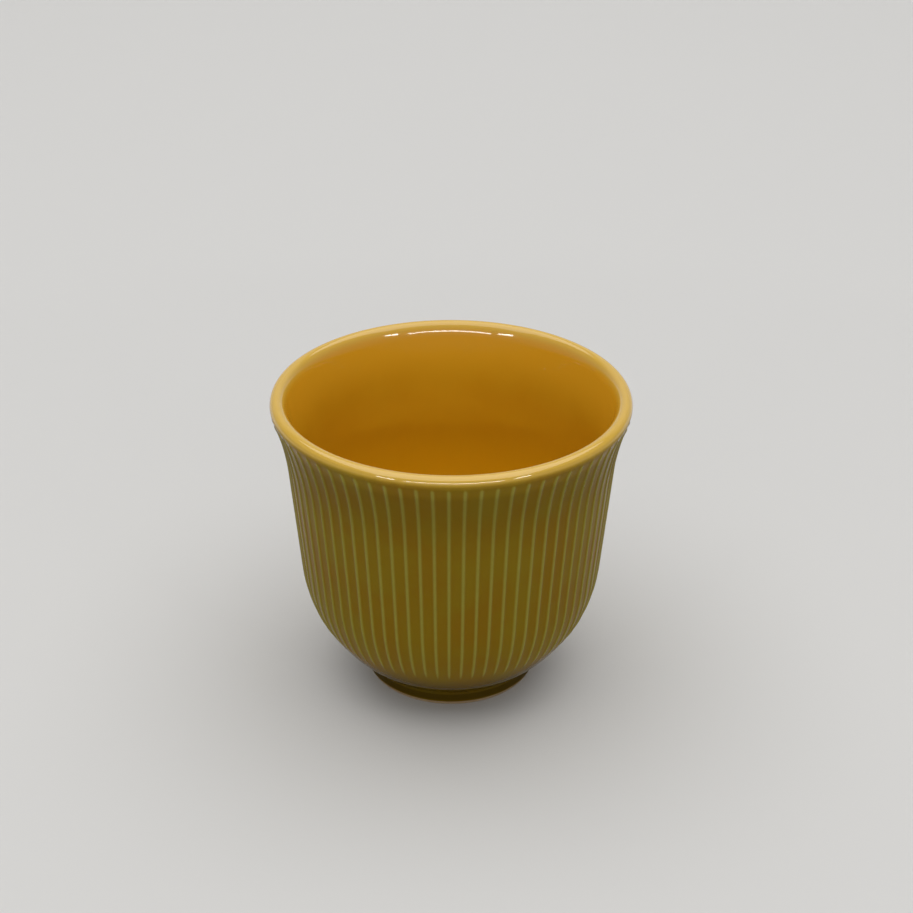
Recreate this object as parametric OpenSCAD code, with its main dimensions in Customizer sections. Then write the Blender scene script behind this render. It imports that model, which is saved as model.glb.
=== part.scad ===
// Handleless ribbed espresso cup: a slip-cast clay body with a mustard glaze on the outside,
// on the inside and in the recess under the foot. Millimetres, +Z up, the foot stands on z = 0.
// The outline is a flat base, a rounded heel, a ball-shaped bowl, a straight wall and a flared lip,
// each tangent to the next.

/* [Overall] */
// Height from the table to the top of the lip
cup_h = 54.6; // [46:0.2:70]
// Diameter over the glazed lip
rim_d = 62; // [56:0.5:72]

/* [Wall] */
// Thickness of the fired clay wall
clay_t = 1.7; // [1.4:0.1:2.6]
// Thickness of the glaze, inside and out
glaze_t = 0.35; // [0.2:0.05:0.5]
// Swell of the round lip beyond each face of the wall
lip_swell = 0.05; // [0.03:0.01:0.2]
// Lean of the skin where it meets the lip, in degrees off vertical
lip_lean = 21.3; // [14:0.1:26]
// Radius of the hollow flare under the lip
flare_r = 41.8; // [32:0.1:54]
// Lean of the straight part of the wall, in degrees off vertical
wall_lean = 5.2; // [2:0.1:8]
// Lean where the bowl turns into the heel, in degrees off vertical
heel_lean = 52; // [46:1:60]
// Radius of the heel that leads to the flat base
heel_r = 7.5; // [5:0.1:10]

/* [Foot] */
// Outer diameter of the glazed foot ring
foot_d = 30.8; // [26:0.2:36]
// Width of the clay foot ring
foot_w = 2.6; // [1.8:0.1:4]
// Clear height under the glazed base, inside the ring
foot_h = 2.1; // [1.2:0.1:3]
// Height of the ring that is wiped free of glaze
bare_h = 0.8; // [0.4:0.1:1]
// Bevel on the edges of the ring
foot_bevel = 0.4; // [0.1:0.1:0.6]

/* [Ribs] */
// Number of ribs around the cup
rib_count = 74; // [48:1:84]
// Width of a clay rib, measured at the lip
rib_w = 0.5; // [0.3:0.05:0.8]
// Height of a glazed rib above the glaze between the ribs
rib_rise = 0.2; // [0.15:0.05:0.4]
// Thickness of the glaze that is left on a rib
rib_glaze = 0.1; // [0.05:0.01:0.14]
// Plain band of skin between the lip and the ribs
lip_band = 0.9; // [0.5:0.1:4]
// Lean of the bowl where the ribs end, in degrees off vertical
rib_end_lean = 28; // [20:1:44]

/* [Hidden] */
$fn = 180;

// Depths are measured inwards from the glazed skin between the ribs
wall_t = clay_t + 2 * glaze_t;
liner_depth = glaze_t + clay_t;
clay_middle = glaze_t + clay_t / 2;
lip_r = wall_t / 2 + lip_swell;
clay_lip_r = clay_t / 2 + lip_swell;
far = 2 * (rim_d + cup_h);

// Each curve of the outline stands out by one bite more than the curve above it and runs on under it,
// so that neighbours cross and don't merely touch
bite = 0.01;
run_on = 1.2;

// The outward direction across a skin that leans by an angle
function across(lean) = [cos(lean), -sin(lean)];
function arc_angle(length, radius) = length / radius * 180 / PI;

// The top of the straight wall follows from the lip and the flare
lip_middle = [rim_d / 2 - lip_r, cup_h - lip_r];
flare_middle = lip_middle + (wall_t / 2 + flare_r) * across(lip_lean);
wall_top = flare_middle - flare_r * across(wall_lean);
flare_turn = lip_lean - wall_lean;

// The bowl is the ball, centred on the axis, that touches the straight wall and the heel
heel_drop = foot_h + heel_r * (1 - sin(heel_lean));
wall_reach = wall_top * across(wall_lean) + heel_drop * sin(wall_lean);
bowl_r = wall_reach / (1 - sin(heel_lean) * sin(wall_lean));
bowl_z = heel_drop + bowl_r * sin(heel_lean);
wall_len = (wall_top.y - bowl_z + bowl_r * sin(wall_lean)) / cos(wall_lean);
heel_middle = [0, bowl_z] + (bowl_r - heel_r) * across(heel_lean);

// Height of the lower skin at a radius and a depth
function lower_z(r, depth) =
    r > heel_middle.x + (heel_r - depth) * cos(heel_lean) ? bowl_z - sqrt(pow(bowl_r - depth, 2) - r * r)
    : r > heel_middle.x ? heel_middle.y - sqrt(pow(heel_r - depth, 2) - pow(r - heel_middle.x, 2))
    : foot_h + depth;

// The foot ring, without its glaze
ring_out = foot_d / 2 - glaze_t;
ring_in = ring_out - foot_w;
ring_middle = ring_out - foot_w / 2;

// Frames on the skin where the bowl meets the wall: x runs up the skin and y inwards,
// or x runs down the skin and y outwards. Every bend turns clockwise about a point at y = -radius.
module going_up() {
    translate([0, bowl_z])
        rotate(90 - wall_lean)
            translate([0, -bowl_r])
                children();
}

module going_down() {
    translate([0, bowl_z])
        rotate(-90 - wall_lean)
            translate([0, bowl_r])
                children();
}

// Carries its children past a bend
module past(radius, turn) {
    translate([0, -radius])
        rotate(-turn)
            translate([0, radius])
                children();
}

module at_lip() {
    going_up()
        translate([wall_len, 0])
            past(flare_r, flare_turn)
                children();
}

module ahead() {
    translate([0, -far])
        square([far, 2 * far]);
}

module behind() {
    translate([-far, -far])
        square([far, 2 * far]);
}

// The disc inside a ball-shaped bowl at a depth
module bowl_disc(depth) {
    translate([0, -bowl_r])
        circle(bowl_r - depth + 2 * bite);
}

// All that lies inside the lower skin at a depth: the ball, less the corner outside the heel and the base
module bowl_inside(depth) {
    intersection() {
        going_down()
            bowl_disc(depth);
        going_down()
            translate([-run_on, 0])
                ahead();
        translate([-far, foot_h + depth])
            square(2 * far);
        union() {
            translate(heel_middle)
                circle(heel_r - depth + 3 * bite);
            translate([heel_middle.x - far, 0])
                square(far);
            going_down()
                past(bowl_r, heel_lean - wall_lean)
                    behind();
        }
    }
}

// All that lies inside the straight wall at a depth
module wall_inside(depth) {
    going_up()
        translate([0, depth - bite])
            square([wall_len + run_on, far]);
}

// All that lies inside the flare at a depth
module flare_inside(depth) {
    going_up()
        translate([wall_len, -flare_r])
            difference() {
                square([far, 2 * far]);
                circle(flare_r + depth);
            }
}

module inside(depth) {
    bowl_inside(depth);
    wall_inside(depth);
    flare_inside(depth);
}

// Half section of the wall between two depths, from the lip to the axis
module skin_section(d1, d2) {
    intersection() {
        square([far, far]);
        at_lip()
            behind();
        difference() {
            inside(d1);
            inside(d2);
        }
    }
}

// A round bead that ends the wall at the lip
module lip_bead(radius) {
    at_lip()
        translate([0, wall_t / 2])
            circle(radius);
}

// The bead of glaze on the lip, without the clay of the wall
module lip_glaze() {
    difference() {
        lip_bead(lip_r);
        skin_section(glaze_t, liner_depth);
    }
}

// Half section of the foot ring, which runs up to the middle of the clay wall
module foot_ring() {
    polygon([
        [ring_in + foot_bevel, 0],
        [ring_out - foot_bevel, 0],
        [ring_out, foot_bevel],
        [ring_out, lower_z(ring_out, clay_middle)],
        [ring_in, lower_z(ring_in, clay_middle)],
        [ring_in, foot_bevel]
    ]);
}

// Half section of the clay
module clay_section() {
    skin_section(glaze_t, liner_depth);
    lip_bead(clay_lip_r);
    foot_ring();
}

// A sleeve of glaze on one side of the foot ring, from the wiped edge up into the glaze of the bowl
module ring_sleeve(r) {
    polygon([
        [r, bare_h],
        [r + glaze_t, bare_h],
        [r + glaze_t, lower_z(r + glaze_t, glaze_t / 2)],
        [r, lower_z(r, glaze_t / 2)]
    ]);
}

// Half section of all the glaze outside the clay, below the lip
module outside_section() {
    difference() {
        union() {
            skin_section(0, glaze_t);
            ring_sleeve(ring_in - glaze_t);
            ring_sleeve(ring_out);
        }
        foot_ring();
    }
}

// Half section of the outside coat, from the crest of the lip to the wiped edge of the foot
module outer_section() {
    difference() {
        union() {
            intersection() {
                outside_section();
                translate([ring_middle, 0])
                    square(far);
            }
            intersection() {
                lip_glaze();
                translate([lip_middle.x, 0])
                    square(far);
            }
        }
        lip_bead(clay_lip_r);
    }
}

// Half section of the inside coat, from the crest of the lip to the axis
module liner_section() {
    difference() {
        union() {
            skin_section(liner_depth, wall_t);
            intersection() {
                lip_glaze();
                square([lip_middle.x, far]);
            }
        }
        lip_bead(clay_lip_r);
    }
}

// Side view of a rib between two depths, along the flare, the wall and the bowl.
// The wall's length is let in a little deeper, so that it takes in the ends of the other two.
module rib_side(d1, d2, margin) {
    going_up() {
        translate([wall_len, 0])
            intersection() {
                translate([0, -flare_r])
                    difference() {
                        circle(flare_r + d2);
                        circle(flare_r + d1);
                    }
                ahead();
                past(flare_r, flare_turn - arc_angle(lip_band - margin, flare_r))
                    behind();
            }
        translate([0, d1 - bite])
            square([wall_len + run_on, d2 - d1 + glaze_t / 4]);
    }
    going_down()
        intersection() {
            difference() {
                bowl_disc(d1);
                bowl_disc(d2);
            }
            translate([-run_on, 0])
                ahead();
            past(bowl_r, rib_end_lean - wall_lean + arc_angle(margin, bowl_r))
                behind();
        }
}

// Ribs around the cup between two depths, each between two planes through the axis.
// The margin makes them longer at both ends.
module ribs(width, d1, d2, margin) {
    angle = arc_angle(width, rim_d / 2);
    for (i = [0 : rib_count - 1])
        rotate(i * 360 / rib_count - 90 - angle / 2)
            rotate_extrude(angle = angle)
                rib_side(d1, d2, margin);
}

module clay_ribs() {
    ribs(rib_w, rib_glaze - rib_rise, clay_middle, 0);
}

// Cast clay body: an even wall, raised ribs outside and a foot ring
module clay_body() {
    color("wheat") {
        rotate_extrude()
            clay_section();
        clay_ribs();
    }
}

// Outside glaze: pooled between the ribs, thin over them, down to the wiped edge of the foot
module outer_glaze() {
    color("goldenrod")
        difference() {
            union() {
                rotate_extrude()
                    outer_section();
                ribs(rib_w + 2 * rib_glaze, -rib_rise, glaze_t / 2, rib_glaze);
            }
            clay_ribs();
        }
}

// Liner glaze: poured inside, from the crest of the lip down to the floor
module liner_glaze() {
    color("darkgoldenrod")
        rotate_extrude()
            liner_section();
}

// Glaze in the recess under the base, inside the foot ring
module underside_glaze() {
    color("goldenrod")
        rotate_extrude()
            intersection() {
                outside_section();
                square([ring_middle, far]);
            }
}

clay_body();
outer_glaze();
liner_glaze();
underside_glaze();
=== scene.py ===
import math

import bpy
from mathutils import Matrix, Vector


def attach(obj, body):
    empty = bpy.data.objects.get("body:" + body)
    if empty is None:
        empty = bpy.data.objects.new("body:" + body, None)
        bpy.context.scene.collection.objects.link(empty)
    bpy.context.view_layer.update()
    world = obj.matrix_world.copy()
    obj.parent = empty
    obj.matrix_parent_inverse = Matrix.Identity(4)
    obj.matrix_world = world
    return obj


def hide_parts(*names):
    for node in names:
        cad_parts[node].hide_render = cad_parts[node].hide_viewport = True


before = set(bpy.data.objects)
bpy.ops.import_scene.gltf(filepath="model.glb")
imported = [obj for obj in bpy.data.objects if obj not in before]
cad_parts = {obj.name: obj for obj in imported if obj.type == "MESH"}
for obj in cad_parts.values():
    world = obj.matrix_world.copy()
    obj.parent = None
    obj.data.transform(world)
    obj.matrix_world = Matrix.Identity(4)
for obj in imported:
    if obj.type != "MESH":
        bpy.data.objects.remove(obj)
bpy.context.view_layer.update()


# Clay body: the cup itself, slip-cast in one piece from a buff stoneware clay.
# The mould gives it the wall, the ribs and the foot ring in one. Glaze covers all of it but the wiped edge
# of the ring that it stands on.
MM = 0.001
# Lengths are in millimetres, leans in degrees off vertical, and depths run inwards from the glazed skin.
LIP_MIDDLE = (29.75, 53.35)
CLAY_LIP_R = 0.9
FLARE_MIDDLE = (69.8127, 37.7302)
FLARE_R = 41.8
BOWL_MIDDLE = (0.0, 24.6001)
BOWL_R = 26.5354
HEEL_MIDDLE = (11.7194, 9.6)
HEEL_R = 7.5
LIP_LEAN, WALL_LEAN, HEEL_LEAN, BASE_LEAN = 21.3, 5.2, 52.0, 90
GLAZE_T, LINER_DEPTH = 0.35, 2.05
BASE_Z = 2.1
RING_OUT, RING_IN = 15.05, 12.45
RING_ROUND = 0.45
RIB_COUNT = 74
RIB_RISE, CLAY_RIB_RISE = 0.2, 0.45
RIB_TOP, RIB_TOP_FADE = 52.85, 0.85
RIB_END, RIB_END_FADE = 9.8, 3.8
# The half width of a rib is a share of the spacing; the columns of the mesh crowd towards the ribs.
RIB_HALF_WIDTH = 0.2
RIB_CROWDING = 0.55
# Where the round of the clay lip starts and ends, as elevations, and the lean of the skin that it meets
CLAY_BEAD_IN, CLAY_BEAD_OUT = 150, -16
CLAY_SKIN_TOP = 20.4


def smooth_step(x):
    x = min(max(x, 0.0), 1.0)
    return x * x * (3 - 2 * x)


def rib_fade(z):
    return smooth_step((RIB_TOP - z) / RIB_TOP_FADE) * smooth_step((z - RIB_END) / RIB_END_FADE)


def spread(first, last, steps):
    return [first + (last - first) * i / steps for i in range(steps + 1)]


def mark(r, z, lean=0.0, thin=0.0):
    """A point of a half section: radius, height, the way out of the skin, and a number for the glaze there:
    above 0 thinner and paler, partly as painted light; below 0 painted shade.
    """
    angle = math.radians(-lean)
    return {"r": r, "z": z, "out": (math.cos(angle), math.sin(angle)), "rise": 0.0, "thin": thin}


def on_circle(middle, radius, elevation):
    a = math.radians(elevation)
    return middle[0] + radius * math.cos(a), middle[1] + radius * math.sin(a)


def on_bead(radius, elevation):
    return mark(*on_circle(LIP_MIDDLE, radius, elevation), lean=-elevation)


def on_flare(depth, lean):
    """The flare is hollow: its middle lies outside the cup, so the radius points back."""
    return mark(*on_circle(FLARE_MIDDLE, -(FLARE_R + depth), -lean), lean=lean)


def on_bowl(depth, lean):
    return mark(*on_circle(BOWL_MIDDLE, BOWL_R - depth, -lean), lean=lean)


def on_heel(depth, lean, thin=0.0):
    return mark(*on_circle(HEEL_MIDDLE, HEEL_R - depth, -lean), lean=lean, thin=thin)


def heel_lean_at(depth, r):
    return math.degrees(math.acos((r - HEEL_MIDDLE[0]) / (HEEL_R - depth)))


def with_ribs(points, rise):
    for p in points:
        p["rise"] = rise * rib_fade(p["z"])
    return points


def skin(depth, flare_steps, wall_steps, bowl_steps, first_lean=LIP_LEAN):
    """The run of a skin from under the lip, down the flare, the wall and the bowl, to the heel."""
    run = [on_flare(depth, lean) for lean in spread(first_lean, WALL_LEAN, flare_steps)]
    top, low = run[-1], on_bowl(depth, WALL_LEAN)
    for i in range(1, wall_steps):
        f = i / wall_steps
        r = top["r"] + (low["r"] - top["r"]) * f
        z = top["z"] + (low["z"] - top["z"]) * f
        run.append(mark(r, z, lean=WALL_LEAN))
    return run + [on_bowl(depth, lean) for lean in spread(WALL_LEAN, HEEL_LEAN, bowl_steps)]


def corner(middle, radius, first, last, steps):
    return [mark(*on_circle(middle, radius, e), lean=-e) for e in spread(first, last, steps)]


def number(tree, operation, *values):
    node = tree.nodes.new("ShaderNodeMath")
    node.operation = operation
    for socket, value in zip(node.inputs, values):
        if isinstance(value, (int, float)):
            socket.default_value = value
        else:
            tree.links.new(value, socket)
    return node.outputs[0]


def turning_tree():
    """Turns a half section about the axis and lifts it into ribs where the section says so."""
    weld_distance = 1e-6
    crisp_bend = math.radians(55)
    tree = bpy.data.node_groups.new("turned_and_ribbed", "GeometryNodeTree")
    face = tree.interface
    face.new_socket("Section", in_out="INPUT", socket_type="NodeSocketGeometry")
    for label, kind in (
        ("Rib count", "NodeSocketInt"),
        ("Columns per rib", "NodeSocketInt"),
        ("Crowding", "NodeSocketFloat"),
        ("Rib height", "NodeSocketFloat"),
        ("Rib half width", "NodeSocketFloat"),
        ("Finish", "NodeSocketMaterial"),
    ):
        face.new_socket(label, in_out="INPUT", socket_type=kind)
    face.new_socket("Shell", in_out="OUTPUT", socket_type="NodeSocketGeometry")

    def add(kind, **settings):
        node = tree.nodes.new(kind)
        for key, value in settings.items():
            setattr(node, key, value)
        return node

    def link(a, b):
        tree.links.new(a, b)

    # A flat grid with one row for each point of the section and one column for each place around
    given = add("NodeGroupInput").outputs
    size = add("GeometryNodeAttributeDomainSize", component="MESH")
    link(given["Section"], size.inputs["Geometry"])
    rows = size.outputs["Point Count"]
    around = number(tree, "MULTIPLY", given["Rib count"], given["Columns per rib"])
    tall = number(tree, "ADD", rows, 1)
    grid = add("GeometryNodeMeshGrid")
    link(number(tree, "ADD", around, 1), grid.inputs["Vertices X"])
    link(tall, grid.inputs["Vertices Y"])

    index = add("GeometryNodeInputIndex").outputs[0]
    column = number(tree, "FLOOR", number(tree, "DIVIDE", number(tree, "ADD", index, 0.5), tall))
    row = number(tree, "SUBTRACT", index, number(tree, "MULTIPLY", column, tall))
    row = number(tree, "MODULO", row, rows)
    column = number(tree, "MODULO", column, around)

    def sampled(value, kind):
        node = add("GeometryNodeSampleIndex", data_type=kind, domain="POINT")
        link(given["Section"], node.inputs["Geometry"])
        link(value, node.inputs["Value"])
        link(row, node.inputs["Index"])
        return node.outputs[0]

    def kept(name):
        node = add("GeometryNodeInputNamedAttribute", data_type="FLOAT")
        node.inputs["Name"].default_value = name
        return sampled(node.outputs["Attribute"], "FLOAT")

    place = add("ShaderNodeSeparateXYZ")
    link(sampled(add("GeometryNodeInputPosition").outputs[0], "FLOAT_VECTOR"), place.inputs[0])
    radius, height = place.outputs["X"], place.outputs["Z"]

    # The place beside the nearest rib runs from -0.5 to 0.5; a cubic draws the columns in towards the rib
    turn = number(tree, "DIVIDE", column, given["Columns per rib"])
    rib_number = number(tree, "FLOOR", number(tree, "ADD", turn, 0.5))
    beside = number(tree, "SUBTRACT", turn, rib_number)
    slope = number(tree, "SUBTRACT", 1.0, given["Crowding"])
    cubed = number(tree, "POWER", number(tree, "ABSOLUTE", beside), 3.0)
    cubed = number(tree, "MULTIPLY", cubed, number(tree, "SIGN", beside))
    bend = number(tree, "MULTIPLY", 4.0, number(tree, "SUBTRACT", 1.0, slope))
    bent = number(tree, "MULTIPLY", cubed, bend)
    beside = number(tree, "ADD", number(tree, "MULTIPLY", beside, slope), bent)
    pitch = number(tree, "DIVIDE", 2 * math.pi, given["Rib count"])
    angle = number(tree, "MULTIPLY", number(tree, "ADD", rib_number, beside), pitch)
    angle = number(tree, "SUBTRACT", angle, math.pi / 2)

    # A rib's crown is one wave of a cosine
    across = number(tree, "DIVIDE", number(tree, "ABSOLUTE", beside), given["Rib half width"])
    across = number(tree, "MINIMUM", across, 1.0)
    crown = number(tree, "COSINE", number(tree, "MULTIPLY", across, math.pi))
    crown = number(tree, "MULTIPLY_ADD", crown, 0.5, 0.5)
    rise = number(tree, "MULTIPLY", crown, kept("rise"))
    lift = number(tree, "MULTIPLY", rise, given["Rib height"])
    radius = number(tree, "ADD", radius, number(tree, "MULTIPLY", lift, kept("out_r")))
    height = number(tree, "ADD", height, number(tree, "MULTIPLY", lift, kept("out_z")))
    point = add("ShaderNodeCombineXYZ")
    link(number(tree, "MULTIPLY", radius, number(tree, "COSINE", angle)), point.inputs["X"])
    link(number(tree, "MULTIPLY", radius, number(tree, "SINE", angle)), point.inputs["Y"])
    link(height, point.inputs["Z"])

    def stored(shell, name, value):
        node = add("GeometryNodeStoreNamedAttribute", data_type="FLOAT", domain="POINT")
        link(shell, node.inputs["Geometry"])
        node.inputs["Name"].default_value = name
        link(value, node.inputs["Value"])
        return node.outputs["Geometry"]

    shell = stored(grid.outputs["Mesh"], "rib", number(tree, "MINIMUM", rise, 1.0))
    shell = stored(shell, "thin", kept("thin"))
    moved = add("GeometryNodeSetPosition")
    link(shell, moved.inputs["Geometry"])
    link(point.outputs[0], moved.inputs["Position"])
    joined = add("GeometryNodeMergeByDistance")
    link(moved.outputs["Geometry"], joined.inputs["Geometry"])
    joined.inputs["Distance"].default_value = weld_distance

    # Points on the axis weld into one and leave edges without faces, which are taken out
    faces_beside = add("GeometryNodeInputMeshEdgeNeighbors").outputs["Face Count"]
    loose = number(tree, "LESS_THAN", faces_beside, 0.5)
    closed = add("GeometryNodeDeleteGeometry", domain="EDGE", mode="EDGE_FACE")
    link(joined.outputs["Geometry"], closed.inputs["Geometry"])
    link(loose, closed.inputs["Selection"])
    turned = add("GeometryNodeFlipFaces")
    link(closed.outputs["Geometry"], turned.inputs["Mesh"])
    soft = add("GeometryNodeSetShadeSmooth", domain="FACE")
    link(turned.outputs["Mesh"], soft.inputs["Geometry"])
    crisp = add("GeometryNodeSetShadeSmooth", domain="EDGE")
    link(soft.outputs["Geometry"], crisp.inputs["Geometry"])
    edge_bend = add("GeometryNodeInputMeshEdgeAngle").outputs["Unsigned Angle"]
    link(number(tree, "GREATER_THAN", edge_bend, crisp_bend), crisp.inputs["Selection"])
    crisp.inputs["Shade Smooth"].default_value = False
    whole = add("GeometryNodeRealizeInstances")
    link(crisp.outputs["Geometry"], whole.inputs["Geometry"])
    finish = add("GeometryNodeSetMaterial")
    link(whole.outputs["Geometry"], finish.inputs["Geometry"])
    link(given["Finish"], finish.inputs["Material"])
    link(finish.outputs["Geometry"], add("NodeGroupOutput").inputs["Shell"])
    return tree


TURNING = turning_tree()


def turned_piece(name, section, finish, ribs=1, columns=320, crowding=0.0):
    """A closed shell, turned from a closed half section in millimetres, as a plain mesh at the origin."""
    mesh = bpy.data.meshes.new(name + "_section")
    count = len(section)
    points = [(p["r"] * MM, 0, p["z"] * MM) for p in section]
    mesh.from_pydata(points, [(i, (i + 1) % count) for i in range(count)], [])
    for label, values in (
        ("out_r", [p["out"][0] for p in section]),
        ("out_z", [p["out"][1] for p in section]),
        ("rise", [p["rise"] for p in section]),
        ("thin", [p["thin"] for p in section]),
    ):
        mesh.attributes.new(label, "FLOAT", "POINT").data.foreach_set("value", values)
    maker = bpy.data.objects.new(name + "_maker", mesh)
    bpy.context.scene.collection.objects.link(maker)
    modifier = maker.modifiers.new("turning", "NODES")
    modifier.node_group = TURNING
    wanted = {
        "Rib count": ribs,
        "Columns per rib": columns,
        "Crowding": crowding,
        "Rib height": RIB_RISE * MM,
        "Rib half width": RIB_HALF_WIDTH,
        "Finish": finish,
    }
    for item in TURNING.interface.items_tree:
        if item.item_type == "SOCKET" and item.in_out == "INPUT" and item.name in wanted:
            modifier[item.identifier] = wanted[item.name]
    graph = bpy.context.evaluated_depsgraph_get()
    made = maker.evaluated_get(graph)
    shell = bpy.data.meshes.new_from_object(made, preserve_all_data_layers=True, depsgraph=graph)
    shell.name = name
    shell.materials.clear()
    shell.materials.append(finish)
    shell.polygons.foreach_set("material_index", [0] * len(shell.polygons))
    maker.modifiers.remove(modifier)
    bpy.data.objects.remove(maker)
    bpy.data.meshes.remove(mesh)
    piece = bpy.data.objects.new(name, shell)
    bpy.context.scene.collection.objects.link(piece)
    return piece


def new_finish(name, roughness):
    material = bpy.data.materials.new(name)
    material.use_nodes = True
    tree = material.node_tree
    shader = tree.nodes["Principled BSDF"]
    shader.inputs["Roughness"].default_value = roughness
    return material, tree, shader


def srgb(red, green, blue):
    def linear(v):
        v /= 255
        return v / 12.92 if v <= 0.04045 else ((v + 0.055) / 1.055) ** 2.4
    return (linear(red), linear(green), linear(blue), 1.0)


def noise(tree, scale, detail=3.0, roughness=0.5):
    place = tree.nodes.new("ShaderNodeTexCoord")
    node = tree.nodes.new("ShaderNodeTexNoise")
    node.inputs["Scale"].default_value = scale
    node.inputs["Detail"].default_value = detail
    node.inputs["Roughness"].default_value = roughness
    tree.links.new(place.outputs["Object"], node.inputs["Vector"])
    return node.outputs["Fac"]


def shades(tree, factor, *stops):
    """A run of colours along a factor; each stop is a place from 0 to 1 and a colour."""
    node = tree.nodes.new("ShaderNodeValToRGB")
    ramp = node.color_ramp
    while len(ramp.elements) < len(stops):
        ramp.elements.new(0.5)
    for element, (place, colour) in zip(ramp.elements, stops):
        element.position = place
        element.color = colour
    tree.links.new(factor, node.inputs["Fac"])
    return node.outputs["Color"]


def between(tree, value, low, high, first=0.0, last=1.0):
    """A soft step: the first value up to the low end, the last one from the high end on."""
    node = tree.nodes.new("ShaderNodeMapRange")
    node.interpolation_type = "SMOOTHSTEP"
    for label, given in (("From Min", low), ("From Max", high), ("To Min", first), ("To Max", last)):
        node.inputs[label].default_value = given
    tree.links.new(value, node.inputs["Value"])
    return node.outputs["Result"]


def mixed(tree, factor, first, second):
    """Two colours mixed. For colours the node uses its seventh and eighth inputs and its third output."""
    node = tree.nodes.new("ShaderNodeMix")
    node.data_type = "RGBA"
    tree.links.new(factor, node.inputs[0])
    for socket, colour in ((node.inputs[6], first), (node.inputs[7], second)):
        if isinstance(colour, tuple):
            socket.default_value = colour
        else:
            tree.links.new(colour, socket)
    return node.outputs[2]


def relief(tree, shader, height, strength, distance):
    node = tree.nodes.new("ShaderNodeBump")
    node.inputs["Strength"].default_value = strength
    node.inputs["Distance"].default_value = distance
    tree.links.new(height, node.inputs["Height"])
    tree.links.new(node.outputs["Normal"], shader.inputs["Normal"])


def height_of(tree):
    place = tree.nodes.new("ShaderNodeTexCoord")
    split = tree.nodes.new("ShaderNodeSeparateXYZ")
    tree.links.new(place.outputs["Object"], split.inputs[0])
    return split.outputs["Z"]


CLAY_DARK, CLAY_LIGHT = srgb(156, 130, 94), srgb(176, 151, 114)
CLAY_TOASTED, CLAY_SPECK = srgb(128, 94, 58), srgb(92, 68, 44)
NO_SPECK, FULL_SPECK = (0, 0, 0, 1), (1, 1, 1, 1)
TOAST_LOW, TOAST_HIGH = 0.45, 0.85
bare_clay, tree, shader = new_finish("bare_clay", 0.78)
body_tone = shades(tree, noise(tree, 650, 4), (0.25, CLAY_DARK), (0.75, CLAY_LIGHT))
toasted = between(tree, height_of(tree), TOAST_LOW * MM, TOAST_HIGH * MM)
toasted = mixed(tree, toasted, body_tone, CLAY_TOASTED)
specks = shades(tree, noise(tree, 2600, 2), (0.66, NO_SPECK), (0.74, FULL_SPECK))
tree.links.new(mixed(tree, specks, toasted, CLAY_SPECK), shader.inputs["Base Color"])
relief(tree, shader, noise(tree, 4200, 5, 0.7), 0.35, 0.06 * MM)

ring_lean = heel_lean_at(GLAZE_T, RING_OUT)
clay_section = [on_bead(CLAY_LIP_R, e) for e in spread(90, CLAY_BEAD_OUT, 9)]
clay_section += with_ribs(skin(GLAZE_T, 18, 8, 22, first_lean=CLAY_SKIN_TOP), CLAY_RIB_RISE / RIB_RISE)
clay_section += [on_heel(GLAZE_T, lean) for lean in spread(HEEL_LEAN, ring_lean, 3)[1:]]
clay_section += [mark(RING_OUT, 2.2), mark(RING_OUT, 1.2)]
clay_section += corner((RING_OUT - RING_ROUND, RING_ROUND), RING_ROUND, 0, -90, 8)
clay_section += corner((RING_IN + RING_ROUND, RING_ROUND), RING_ROUND, -90, -180, 8)
clay_section += [mark(RING_IN, 1.2), mark(RING_IN, 1.9), mark(RING_IN, BASE_Z + GLAZE_T)]
clay_section += [mark(r, BASE_Z + GLAZE_T) for r in (10.0, 6.0, 2.5, 0.0)]
clay_section += [mark(r, BASE_Z + LINER_DEPTH) for r in (0.0, 2.5, 6.0, 9.5)]
clay_section += [on_heel(LINER_DEPTH, lean) for lean in spread(BASE_LEAN, HEEL_LEAN, 6)[:-1]]
clay_section += skin(LINER_DEPTH, 6, 3, 14)[::-1]
clay_section += [on_bead(CLAY_LIP_R, e) for e in spread(CLAY_BEAD_IN, 96, 6)]
clay = turned_piece("clay_body_cast", clay_section, bare_clay, RIB_COUNT, 8, RIB_CROWDING)
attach(clay, "root")
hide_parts("clay_body")


# Outside glaze: a mustard coat, dipped over the ribbed clay and melted on to it in the kiln. Its colours are
# the inside glaze painted darker and more olive, as painted shade on the outer wall. It is pale and glassy
# over the lip, partly where it breaks thinner and partly as painted light where the lip faces up, pales over
# the ribs, carries painted shade under the flare and low on the bowl, darkest at the foot, and stops in a
# soft roll above the wiped edge of the ring.
LIP_R = 1.25
LIP_FLAT_TOP, LIP_FLAT_LOW = 36, 12
COAT_SKIN_TOP = 18.3
FOOT_R = RING_OUT + GLAZE_T
FOOT_FILLET = 0.62
SLEEVE_TOP = 2.35
BARE_H = 0.8
EDGE_ROLL = 0.25
EDGE_HOLD, EDGE_DRAW = 0.02, 0.01
# How far the coat thins and is painted lighter by the lip, how deep its painted shade goes, where each
# starts and over what height it fades
LIP_THIN_AND_LIT, LIP_THIN_AND_LIT_LOW, LIP_THIN_AND_LIT_FADE = 0.3, 52, 1.05
FLARE_SHADE, FLARE_SHADE_FADE = 0.34, 2
WALL_SHADE_LOW, WALL_SHADE_FADE = 32, 16
BOWL_SHADE, BOWL_SHADE_TOP, BOWL_SHADE_FADE = 0.7, 15, 10
# The outside colours, on the ribs too, are the inside glaze painted darker and more olive: painted shade
# over the outer wall. The drift between the first two is the glaze's own tone.
GLAZE_IN_SHADE, GLAZE_DRIFT_IN_SHADE = srgb(127, 104, 14), srgb(128, 96, 9)
GLAZE_ON_RIBS = srgb(147, 141, 60)
GLAZE_ON_LIP_THIN_AND_LIT = srgb(221, 178, 64)
# Painted shade: the colour the coat is darkened towards under the flare, low on the bowl and most at the
# foot.
GLAZE_IN_DEEP_SHADE = srgb(76, 58, 6)
GLASS_ROUGHNESS = 0.04


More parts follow.
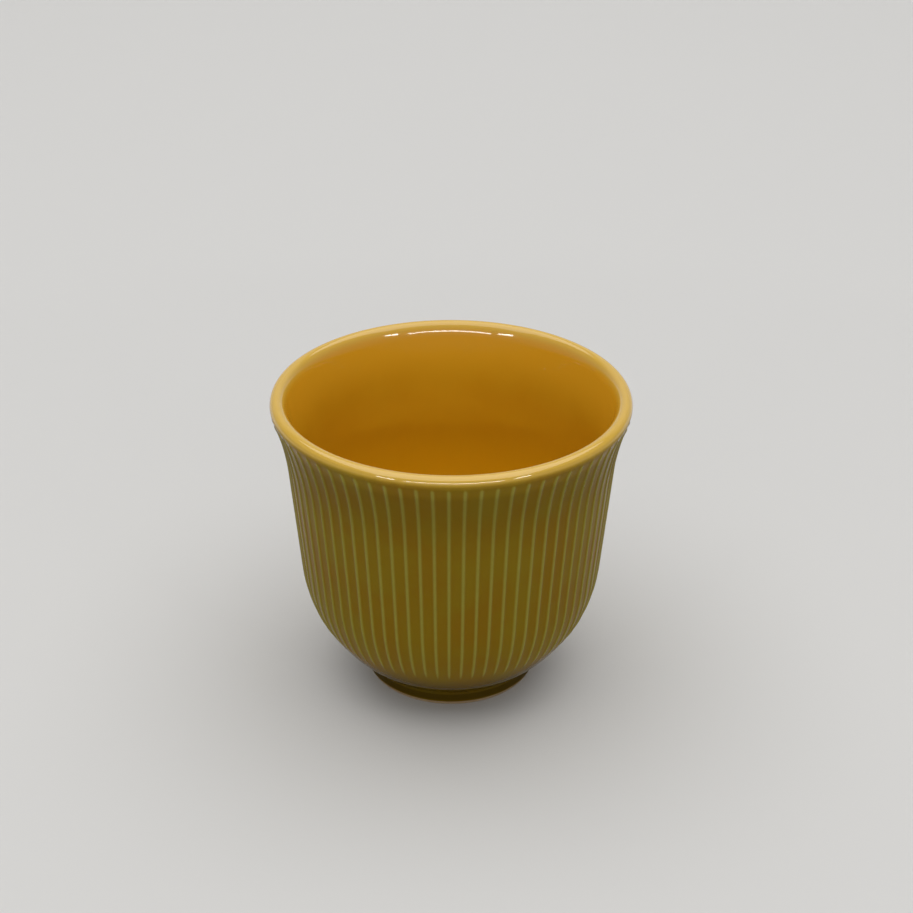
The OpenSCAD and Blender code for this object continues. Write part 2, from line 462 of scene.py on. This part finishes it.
def curve(start, end, start_pull, end_pull, steps, thin=0.0):
    """Marks on a smooth curve down the skin, which leaves one mark and meets another along their leans."""
    a = (start["r"] + start["out"][1] * start_pull, start["z"] - start["out"][0] * start_pull)
    b = (end["r"] - end["out"][1] * end_pull, end["z"] + end["out"][0] * end_pull)
    pulls = ((start["r"], start["z"]), a, b, (end["r"], end["z"]))
    run = []
    for i in range(1, steps):
        t = i / steps
        weights = ((1 - t) ** 3, 3 * t * (1 - t) ** 2, 3 * t * t * (1 - t), t ** 3)
        slopes = (-(1 - t) ** 2, (1 - t) ** 2 - 2 * t * (1 - t), 2 * t * (1 - t) - t * t, t * t)
        r, z = (sum(k * p[n] for k, p in zip(weights, pulls)) for n in (0, 1))
        way_r, way_z = (sum(k * p[n] for k, p in zip(slopes, pulls)) for n in (0, 1))
        run.append(mark(r, z, lean=math.degrees(math.atan2(-way_r, -way_z)), thin=thin))
    return run


def roll(start, bends):
    """Marks down a face whose lean turns from one angle to the next, each turn on its radius, in steps."""
    r, z = start["r"], start["z"]
    run = []
    for first, last, radius, steps in bends:
        step = abs(radius * math.radians(last - first)) / steps
        for i in range(steps):
            lean = math.radians(first + (last - first) * (i + 0.5) / steps)
            r, z = r - step * math.sin(lean), z - step * math.cos(lean)
            run.append(mark(r, z, lean=first + (last - first) * (i + 1) / steps))
    return run


def coat_thinning_and_shade(z):
    """The glaze number at a height below the lip: above 0 thinner and paler, partly as painted light; below
    0 painted shade under the flare and low on the bowl.
    """
    if z < BOWL_SHADE_TOP:
        return -BOWL_SHADE * smooth_step((BOWL_SHADE_TOP - z) / BOWL_SHADE_FADE)
    if z < LIP_THIN_AND_LIT_LOW:
        above = smooth_step((LIP_THIN_AND_LIT_LOW - z) / FLARE_SHADE_FADE)
        return -FLARE_SHADE * above * smooth_step((z - WALL_SHADE_LOW) / WALL_SHADE_FADE)
    return LIP_THIN_AND_LIT * smooth_step((z - LIP_THIN_AND_LIT_LOW) / LIP_THIN_AND_LIT_FADE)


def laid(tree, name):
    """What the mesh says of the glaze: how far it lies on a rib, and its number, above 0 for thinner glaze
    with painted light and below 0 for painted shade.
    """
    node = tree.nodes.new("ShaderNodeAttribute")
    node.attribute_name = name
    return node.outputs["Fac"]


outside_glaze, tree, shader = new_finish("outside_glaze", 0.1)
shader.inputs["Specular IOR Level"].default_value = 0.03
shader.inputs["Coat IOR"].default_value = 1.75
shader.inputs["Coat Roughness"].default_value = GLASS_ROUGHNESS
on_rib, thin = laid(tree, "rib"), laid(tree, "thin")
drift = noise(tree, 120, 3)
cloud = noise(tree, 900, 4, 0.6)
colour = mixed(tree, between(tree, drift, 0.3, 0.7), GLAZE_IN_SHADE, GLAZE_DRIFT_IN_SHADE)
fine = number(tree, "MULTIPLY_ADD", cloud, 0.5, -0.25)
broken = between(tree, on_rib, 0.06, 0.8, 0.0, 0.72)
broken = number(tree, "MULTIPLY", broken, number(tree, "ADD", fine, 1.0))
colour = mixed(tree, broken, colour, GLAZE_ON_RIBS)
lip = number(tree, "ADD", thin, number(tree, "MULTIPLY", fine, 0.25))
colour = mixed(tree, between(tree, lip, 0.1, 0.95), colour, GLAZE_ON_LIP_THIN_AND_LIT)
# Painted shade: below 0 the glaze number darkens the colour towards the deep shade colour.
colour = mixed(tree, between(tree, thin, -0.9, -0.05, 1.0, 0.0), colour, GLAZE_IN_DEEP_SHADE)
tree.links.new(colour, shader.inputs["Base Color"])
tree.links.new(between(tree, thin, 0.5, 0.72, 0.03, 1.0), shader.inputs["Coat Weight"])
tree.links.new(number(tree, "MULTIPLY_ADD", cloud, 0.1, 0.05), shader.inputs["Roughness"])
swim = number(tree, "ADD", noise(tree, 260, 2), number(tree, "MULTIPLY", noise(tree, 1500, 2), 0.12))
relief(tree, shader, swim, 0.12, 0.12 * MM)

lip_rows = (90, 89.4, 88, 85, 80, 74, 67, 60, 52, 44, LIP_FLAT_TOP)
coat_section = [on_bead(LIP_R, e) for e in lip_rows]
coat_section += roll(
    coat_section[-1],
    ((-LIP_FLAT_TOP, -27.5, 0.55, 3), (-27.5, -21, 3.2, 6), (-21, -LIP_FLAT_LOW, 0.5, 3)),
)
coat_section += [on_bead(LIP_R, e) for e in (4, -4, -9, -14)]
# The bead is paler where it faces up: partly glaze broken thinner, partly painted light from above.
for p in coat_section:
    elevation = math.degrees(math.atan2(p["out"][1], p["out"][0]))
    p["thin"] = smooth_step((elevation + 60) / 125)
ribbed = curve(coat_section[-1], on_flare(0, COAT_SKIN_TOP), 0.8, 0.8, 9)
ribbed += skin(0, 13, 12, 30, first_lean=COAT_SKIN_TOP)
# Painted shade under the flare and low on the bowl, and a paler top just under the bead.
for p in ribbed:
    p["thin"] = coat_thinning_and_shade(p["z"])
coat_section += with_ribs(ribbed, 1.0)
fillet_lean = heel_lean_at(0, FOOT_R + FOOT_FILLET)
# The foot sleeve and its soft roll carry painted shade, darkest on the sleeve.
coat_section += [on_heel(0, lean, thin=-BOWL_SHADE) for lean in spread(HEEL_LEAN, fillet_lean, 2)[1:]]
coat_section += curve(coat_section[-1], mark(FOOT_R, SLEEVE_TOP), 0.4, 0.35, 7, thin=-0.6)
coat_section += [mark(FOOT_R, SLEEVE_TOP, thin=-1), mark(FOOT_R, 1.6, thin=-1)]
coat_section += [mark(FOOT_R - EDGE_DRAW, 1.15, thin=-0.7)]
for a in (math.radians(e) for e in spread(0, 90, 6)):
    r = RING_OUT + EDGE_HOLD + (GLAZE_T - EDGE_HOLD - EDGE_DRAW) * math.cos(a)
    coat_section.append(mark(r, BARE_H + EDGE_ROLL - EDGE_ROLL * math.sin(a), thin=-0.4))
coat_section += [mark(RING_OUT, BARE_H), mark(RING_OUT, 2.0)]
coat_section += [on_heel(GLAZE_T, lean) for lean in spread(ring_lean, HEEL_LEAN, 2)[:-1]]
clay_side = skin(GLAZE_T, 10, 3, 12, first_lean=CLAY_SKIN_TOP)[::-1]
coat_section += with_ribs(clay_side, CLAY_RIB_RISE / RIB_RISE)
coat_section += [on_bead(CLAY_LIP_R, e) for e in spread(CLAY_BEAD_OUT, 90, 7)]
coat = turned_piece("outside_glaze_coat", coat_section, outside_glaze, RIB_COUNT, 9, RIB_CROWDING)
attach(coat, "root")
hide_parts("outer_glaze")


# Inside glaze: the same mustard glaze, poured in, swirled and poured out before the firing.
# It meets the outside coat on the crest of the lip and is paler over its round inner edge, partly where it
# breaks thinner and partly as painted light. Down the wall and on the floor it is deeper in colour and also
# lighter, as painted light where the lamps reach less, and a band under the lip is brighter.
WALL_T = 2.4
LINER_WALL_LEAN = 10.8
LIP_PALE_LOW, LIP_PALE_SPAN = 52.2, 2.2
# Low in the cup the colour is deeper and also lighter: painted light where the lamps reach less.
LINER_LIGHT, LINER_DRIFT = srgb(204, 153, 27), srgb(200, 147, 23)
LINER_DEEP_AND_LIT, LINER_UNDER_LIP = srgb(229, 183, 24), srgb(222, 164, 36)
inside_glaze, tree, shader = new_finish("inside_glaze", 0.1)
shader.inputs["Specular IOR Level"].default_value = 0.22
shader.inputs["Coat IOR"].default_value = 1.6
shader.inputs["Coat Roughness"].default_value = GLASS_ROUGHNESS
glassy = between(tree, height_of(tree), 51.8 * MM, 52.9 * MM, 0.05, 1.0)
tree.links.new(glassy, shader.inputs["Coat Weight"])
thin = laid(tree, "thin")
drift = noise(tree, 90, 3)
cloud = noise(tree, 900, 4, 0.6)
colour = mixed(tree, between(tree, drift, 0.3, 0.7), LINER_LIGHT, LINER_DRIFT)
colour = mixed(tree, between(tree, height_of(tree), 20 * MM, 42 * MM), LINER_DEEP_AND_LIT, colour)
colour = mixed(tree, between(tree, height_of(tree), 43 * MM, 53 * MM), colour, LINER_UNDER_LIP)
lip = number(tree, "ADD", thin, number(tree, "MULTIPLY_ADD", cloud, 0.2, -0.1))
colour = mixed(tree, between(tree, lip, 0.1, 0.95), colour, GLAZE_ON_LIP_THIN_AND_LIT)
tree.links.new(colour, shader.inputs["Base Color"])
tree.links.new(number(tree, "MULTIPLY_ADD", cloud, 0.1, 0.05), shader.inputs["Roughness"])
swim = number(tree, "ADD", noise(tree, 220, 2), number(tree, "MULTIPLY", noise(tree, 1500, 2), 0.12))
relief(tree, shader, swim, 0.1, 0.12 * MM)

inner_lip_rows = (90, 90.6, 92, 95, 100, 106, 113, 120, 127, 134, 140)
liner_section = [on_bead(LIP_R, e) for e in inner_lip_rows]
liner_section += roll(liner_section[-1], ((40, 24, 2.5, 6), (24, 15, 11, 10)))
liner_section += curve(liner_section[-1], on_flare(WALL_T, LINER_WALL_LEAN), 2, 2, 8)
# The inner round of the lip is paler towards the crest: partly glaze broken thinner, partly painted light.
for p in liner_section:
    p["thin"] = smooth_step((p["z"] - LIP_PALE_LOW) / LIP_PALE_SPAN)
liner_section += skin(WALL_T, 6, 6, 24, first_lean=LINER_WALL_LEAN)
liner_section += [on_heel(WALL_T, lean) for lean in spread(HEEL_LEAN, BASE_LEAN, 9)[1:]]
liner_section += [mark(r, BASE_Z + WALL_T) for r in (9.0, 6.0, 3.0, 0.0)]
liner_section += [mark(r, BASE_Z + LINER_DEPTH) for r in (0.0, 3.0, 6.0, 9.0)]
liner_section += [on_heel(LINER_DEPTH, lean) for lean in spread(BASE_LEAN, HEEL_LEAN, 6)[:-1]]
liner_section += skin(LINER_DEPTH, 6, 3, 14)[::-1]
liner_section += [on_bead(CLAY_LIP_R, e) for e in spread(CLAY_BEAD_IN, 90, 6)]
liner = turned_piece("inside_glaze_coat", liner_section[::-1], inside_glaze, columns=600)
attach(liner, "root")
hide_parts("liner_glaze")


# Underside glaze: the patch of the same glaze that is left in the recess when the foot is wiped.
# It lies flat under the base, turns down the inner face of the ring and ends in a soft roll.
RECESS_ROUND = 0.8
recess = [mark(r, BASE_Z) for r in (0.0, 3.0, 6.0, 9.0, 10.6)]
round_middle = (RING_IN - GLAZE_T - RECESS_ROUND, BASE_Z - RECESS_ROUND)
for a in (math.radians(e) for e in spread(0, 90, 8)):
    r = round_middle[0] + RECESS_ROUND * math.sin(a)
    recess.append(mark(r, round_middle[1] + RECESS_ROUND * math.cos(a)))
for a in (math.radians(e) for e in spread(0, 90, 6)):
    r = RING_IN - EDGE_HOLD - (GLAZE_T - EDGE_HOLD) * math.cos(a)
    recess.append(mark(r, BARE_H + EDGE_ROLL - EDGE_ROLL * math.sin(a), thin=0.3))
recess += [mark(RING_IN, BARE_H), mark(RING_IN, 1.6), mark(RING_IN, BASE_Z + GLAZE_T)]
recess += [mark(r, BASE_Z + GLAZE_T) for r in (9.0, 6.0, 3.0, 0.0)]
underside = turned_piece("underside_glaze_coat", recess[::-1], outside_glaze)
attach(underside, "root")
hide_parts("underside_glaze")


# Studio floor: a pale paper sheet that curves up behind the cup, in metres.
SHEET_HALF_WIDTH = 2.6
SHEET_FRONT, SHEET_BACK, SHEET_TOP = -2.0, 0.9, 2.4
SWEEP_R = 0.5
sheet = bpy.data.meshes.new("studio_floor")
sweep = [(SHEET_FRONT, 0.0), (SHEET_BACK, 0.0)]
for a in (math.radians(e) for e in spread(0, 90, 16)[1:]):
    sweep.append((SHEET_BACK + SWEEP_R * math.sin(a), SWEEP_R - SWEEP_R * math.cos(a)))
sweep += [(SHEET_BACK + SWEEP_R, SHEET_TOP)]
corners = [(x, y, z) for y, z in sweep for x in (-SHEET_HALF_WIDTH, SHEET_HALF_WIDTH)]
panels = [(2 * i, 2 * i + 1, 2 * i + 3, 2 * i + 2) for i in range(len(sweep) - 1)]
sheet.from_pydata(corners, [], panels)
for polygon in sheet.polygons:
    polygon.use_smooth = True
paper, tree, shader = new_finish("studio_paper", 0.9)
shader.inputs["Base Color"].default_value = srgb(216, 215, 213)
shader.inputs["Specular IOR Level"].default_value = 0.1
sheet.materials.append(paper)
floor = bpy.data.objects.new("studio_floor", sheet)
bpy.context.scene.collection.objects.link(floor)


# Light: a soft panel overhead, a dim even room, and three narrow lamps in front, a little above the cup,
# which draw the thin broken lines of light along the lip. Places are in metres.
CUP_MIDDLE = (0, 0, 0.04)
STRIP_DEPTH = 0.03
ROOM_STRENGTH = 0.25


def lamp(name, place, width, depth, watts):
    light = bpy.data.lights.new(name, "AREA")
    light.shape = "RECTANGLE"
    light.size, light.size_y = width, depth
    light.energy = watts
    holder = bpy.data.objects.new(name, light)
    holder.location = place
    holder.rotation_mode = "QUATERNION"
    holder.rotation_quaternion = (Vector(CUP_MIDDLE) - Vector(place)).to_track_quat("-Z", "Y")
    bpy.context.scene.collection.objects.link(holder)


lamp("overhead_panel", (0, 0.1, 1.5), 2.6, 2.2, 26)
for name, bearing, height, width, watts in (
    ("long_strip", 2.2, 0.405, 1.145, 1.5),
    ("left_strip", -38.5, 0.38, 0.193, 0.34),
    ("right_strip", 43.6, 0.38, 0.17, 0.3),
):
    side = math.radians(bearing)
    lamp(name, (math.sin(side), -math.cos(side), height), width, STRIP_DEPTH, watts)
world = bpy.data.worlds.new("studio_room")
world.use_nodes = True
room = world.node_tree.nodes["Background"]
room.inputs["Color"].default_value = (1, 1, 1, 1)
room.inputs["Strength"].default_value = ROOM_STRENGTH
bpy.context.scene.world = world


# Camera: it looks down on the cup at 28 degrees through a long lens, from where the picture was taken.
# The angles are its place round the cup, its aim to the side and down, and its tilt.
ORBIT, YAW, PITCH, TILT = (math.radians(a) for a in (0.643, 0.191, 28.38, 0.208))
REACH, LEVEL = 279.7 * MM, 193.15 * MM
eye = bpy.data.cameras.new("eye")
eye.sensor_width = 36
eye.lens = 72.0
eye.clip_start, eye.clip_end = 0.01, 20
camera = bpy.data.objects.new("eye", eye)
bpy.context.scene.collection.objects.link(camera)
heading = Matrix.Rotation(ORBIT - YAW, 3, "Z")
ahead = heading @ Vector((0, math.cos(PITCH), -math.sin(PITCH)))
upward = heading @ Vector((0, math.sin(PITCH), math.cos(PITCH)))
right = heading @ Vector((1, 0, 0))
tilted_right = right * math.cos(TILT) + upward * math.sin(TILT)
tilted_up = upward * math.cos(TILT) - right * math.sin(TILT)
aim = Matrix((tilted_right, tilted_up, -ahead)).transposed().to_4x4()
place = (REACH * math.sin(ORBIT), -REACH * math.cos(ORBIT), LEVEL)
camera.matrix_world = Matrix.Translation(place) @ aim
bpy.context.scene.camera = camera
bpy.context.scene.view_settings.view_transform = "Standard"
